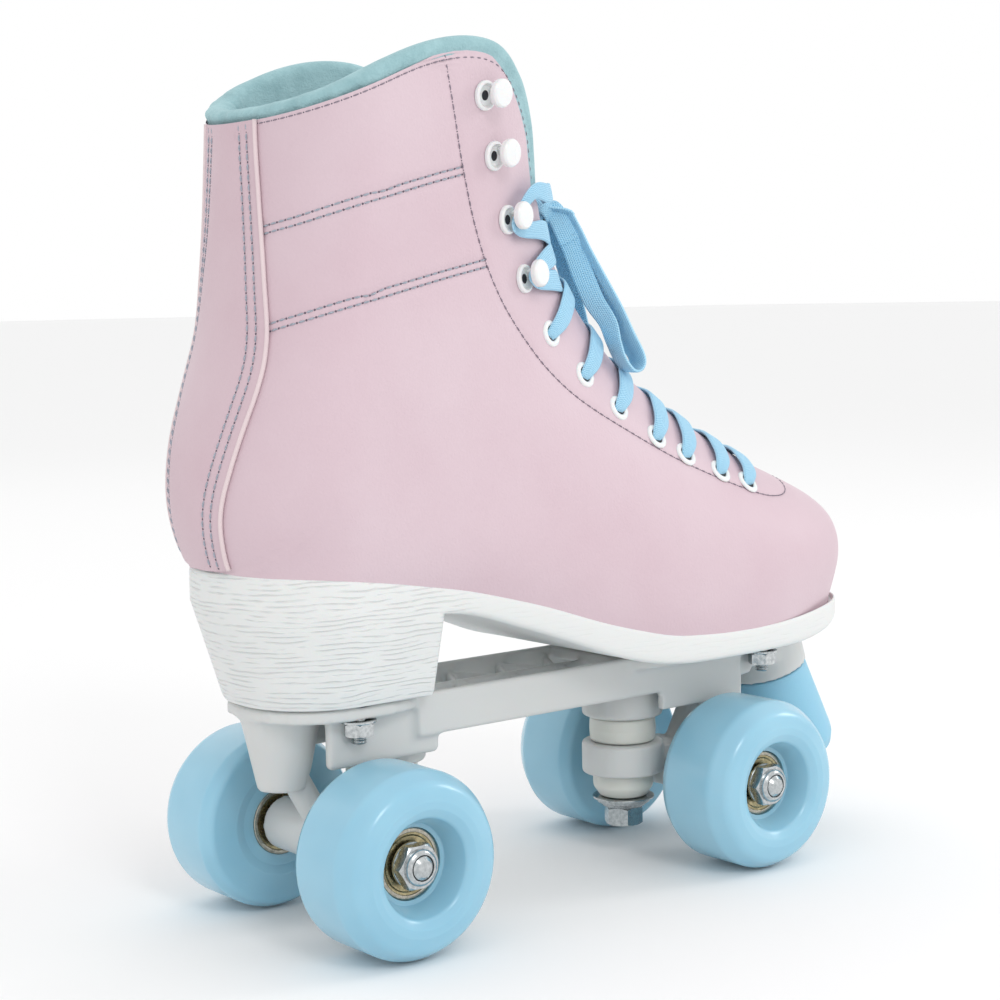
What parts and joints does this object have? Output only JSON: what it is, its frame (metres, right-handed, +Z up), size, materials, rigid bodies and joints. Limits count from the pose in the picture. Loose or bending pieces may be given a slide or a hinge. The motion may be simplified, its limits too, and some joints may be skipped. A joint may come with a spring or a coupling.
{
  "type": "quad roller skate",
  "caption": "High lace-up roller skate: padded leather-look boot on a heeled sole and plate, with sprung trucks, urethane wheels and a toe stop.",
  "frame": {"origin": "on the floor, under the centre of the skate's bounding box", "axes": "+X to the toe, +Y to the wearer's left, +Z up; the wheels stand on Z = 0"},
  "size_m": [0.2692, 0.1106, 0.2768],
  "materials": {
    "upper_leather": "smooth matt",
    "collar_fabric": "brushed knit",
    "lining": "brushed knit",
    "sole": "satin moulded",
    "plate_plastic": "satin moulded",
    "cushion": "satin urethane",
    "wheel": "cast urethane",
    "lace": "woven flat lace",
    "stop_rubber": "moulded rubber",
    "zinc": "bright zinc",
    "bearing": "ground steel",
    "enamel": "gloss enamel"
  },
  "bodies": {
    "root": {"vamp": "upper_leather", "quarter_right": "upper_leather", "quarter_left": "upper_leather", "backstay": "upper_leather", "lining": "lining", "collar": "collar_fabric", "tongue": "upper_leather", "insole": "lining", "outsole": "sole", "heel_block": "sole", "plate": "plate_plastic", "toe_stop": "stop_rubber", "toe_stop_bolt": "zinc", "mounting_screw_front_left": "zinc", "mounting_screw_front_right": "zinc", "mounting_screw_rear_left": "zinc", "mounting_screw_rear_right": "zinc", "speed_hook_right_1": "enamel", "speed_hook_right_2": "enamel", "speed_hook_right_3": "enamel", "speed_hook_right_4": "enamel", "speed_hook_left_1": "enamel", "speed_hook_left_2": "enamel", "speed_hook_left_3": "enamel", "speed_hook_left_4": "enamel", "lace": "lace", "bow_loop_right": "lace", "bow_end_right": "lace", "bow_loop_left": "lace", "bow_end_left": "lace", "front_kingpin": "zinc", "front_kingpin_nut": "zinc", "front_cushion_cup": "zinc", "front_cushion_upper": "cushion", "front_cushion_lower": "cushion", "rear_kingpin": "zinc", "rear_kingpin_nut": "zinc", "rear_cushion_cup": "zinc", "rear_cushion_upper": "cushion", "rear_cushion_lower": "cushion"},
    "front_truck": {"front_hanger": "plate_plastic", "front_axle": "zinc", "axle_nut_front_left": "zinc", "axle_nut_front_right": "zinc"},
    "wheel_front_left": {"wheel_front_left": "wheel", "bearing_front_left_outer": "bearing", "bearing_front_left_inner": "bearing"},
    "wheel_front_right": {"wheel_front_right": "wheel", "bearing_front_right_outer": "bearing", "bearing_front_right_inner": "bearing"},
    "rear_truck": {"rear_hanger": "plate_plastic", "rear_axle": "zinc", "axle_nut_rear_left": "zinc", "axle_nut_rear_right": "zinc"},
    "wheel_rear_left": {"wheel_rear_left": "wheel", "bearing_rear_left_outer": "bearing", "bearing_rear_left_inner": "bearing"},
    "wheel_rear_right": {"wheel_rear_right": "wheel", "bearing_rear_right_outer": "bearing", "bearing_rear_right_inner": "bearing"}
  },
  "joints": [
    {"name": "front_steer", "type": "hinge", "parent": "root", "child": "front_truck", "pos_m": [0.03579, 0, 0.035], "axis": [0.914, 0, 0.4056], "range_deg": [-8, 8], "stiffness_Nm_per_rad": 20, "deforming": ["front_cushion_upper", "front_cushion_lower"]},
    {"name": "front_left_roll", "type": "hinge", "parent": "front_truck", "child": "wheel_front_left", "pos_m": [0.05859, 0.0395, 0.029], "axis": [0, 1, 0], "continuous": true},
    {"name": "front_right_roll", "type": "hinge", "parent": "front_truck", "child": "wheel_front_right", "pos_m": [0.05859, -0.0395, 0.029], "axis": [0, 1, 0], "continuous": true},
    {"name": "rear_steer", "type": "hinge", "parent": "root", "child": "rear_truck", "pos_m": [-0.06861, 0, 0.035], "axis": [-0.914, 0, 0.4056], "range_deg": [-8, 8], "stiffness_Nm_per_rad": 20, "deforming": ["rear_cushion_upper", "rear_cushion_lower"]},
    {"name": "rear_left_roll", "type": "hinge", "parent": "rear_truck", "child": "wheel_rear_left", "pos_m": [-0.09141, 0.0395, 0.029], "axis": [0, 1, 0], "continuous": true},
    {"name": "rear_right_roll", "type": "hinge", "parent": "rear_truck", "child": "wheel_rear_right", "pos_m": [-0.09141, -0.0395, 0.029], "axis": [0, 1, 0], "continuous": true}
  ]
}
